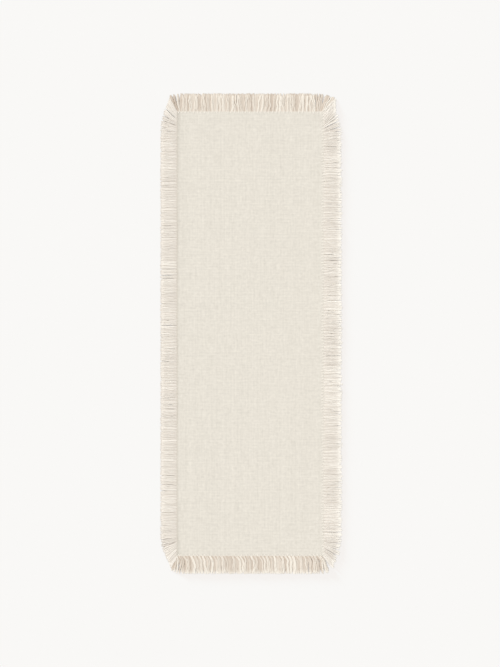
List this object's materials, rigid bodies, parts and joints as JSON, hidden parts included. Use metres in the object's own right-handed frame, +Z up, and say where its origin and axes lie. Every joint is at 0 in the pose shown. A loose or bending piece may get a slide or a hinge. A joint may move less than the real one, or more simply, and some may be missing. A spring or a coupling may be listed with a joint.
{
  "type": "table runner",
  "caption": "Long rectangular woven table runner with stitched edges and a yarn fringe on all four sides; folds in quarters.",
  "frame": {"origin": "centre of the underside of the runner as it lies flat", "axes": "+Y along the length, +X across the width, +Z up through the cloth"},
  "size_m": [0.447, 1.2, 0.0024],
  "materials": {
    "woven_cloth": "matte plain weave, ecru",
    "stitching_thread": "matte twisted thread, cream",
    "side_yarn": "matte loose yarn, cream",
    "end_yarn": "matte loose yarn, cream and pale tan"
  },
  "bodies": {
    "near_end": {"cloth_near_end": "woven_cloth", "near_stitching": "stitching_thread", "near_fringe": "end_yarn", "left_stitching_near_end": "stitching_thread", "right_stitching_near_end": "stitching_thread", "left_fringe_near_end": "side_yarn", "right_fringe_near_end": "side_yarn"},
    "near_middle": {"cloth_near_middle": "woven_cloth", "left_stitching_near_middle": "stitching_thread", "right_stitching_near_middle": "stitching_thread", "left_fringe_near_middle": "side_yarn", "right_fringe_near_middle": "side_yarn"},
    "far_middle": {"cloth_far_middle": "woven_cloth", "left_stitching_far_middle": "stitching_thread", "right_stitching_far_middle": "stitching_thread", "left_fringe_far_middle": "side_yarn", "right_fringe_far_middle": "side_yarn"},
    "far_end": {"cloth_far_end": "woven_cloth", "far_stitching": "stitching_thread", "far_fringe": "end_yarn", "left_stitching_far_end": "stitching_thread", "right_stitching_far_end": "stitching_thread", "left_fringe_far_end": "side_yarn", "right_fringe_far_end": "side_yarn"}
  },
  "joints": [
    {"name": "centre_fold", "type": "hinge", "parent": "near_middle", "child": "far_middle", "pos_m": [0, 0, 0.00525], "axis": [1, 0, 0], "range_deg": [0, 180]},
    {"name": "near_end_fold", "type": "hinge", "parent": "near_middle", "child": "near_end", "pos_m": [0, -0.302, 0.00255], "axis": [-1, 0, 0], "range_deg": [-90, 180]},
    {"name": "far_end_fold", "type": "hinge", "parent": "far_middle", "child": "far_end", "pos_m": [0, 0.302, 0.00255], "axis": [1, 0, 0], "range_deg": [-90, 180]}
  ]
}
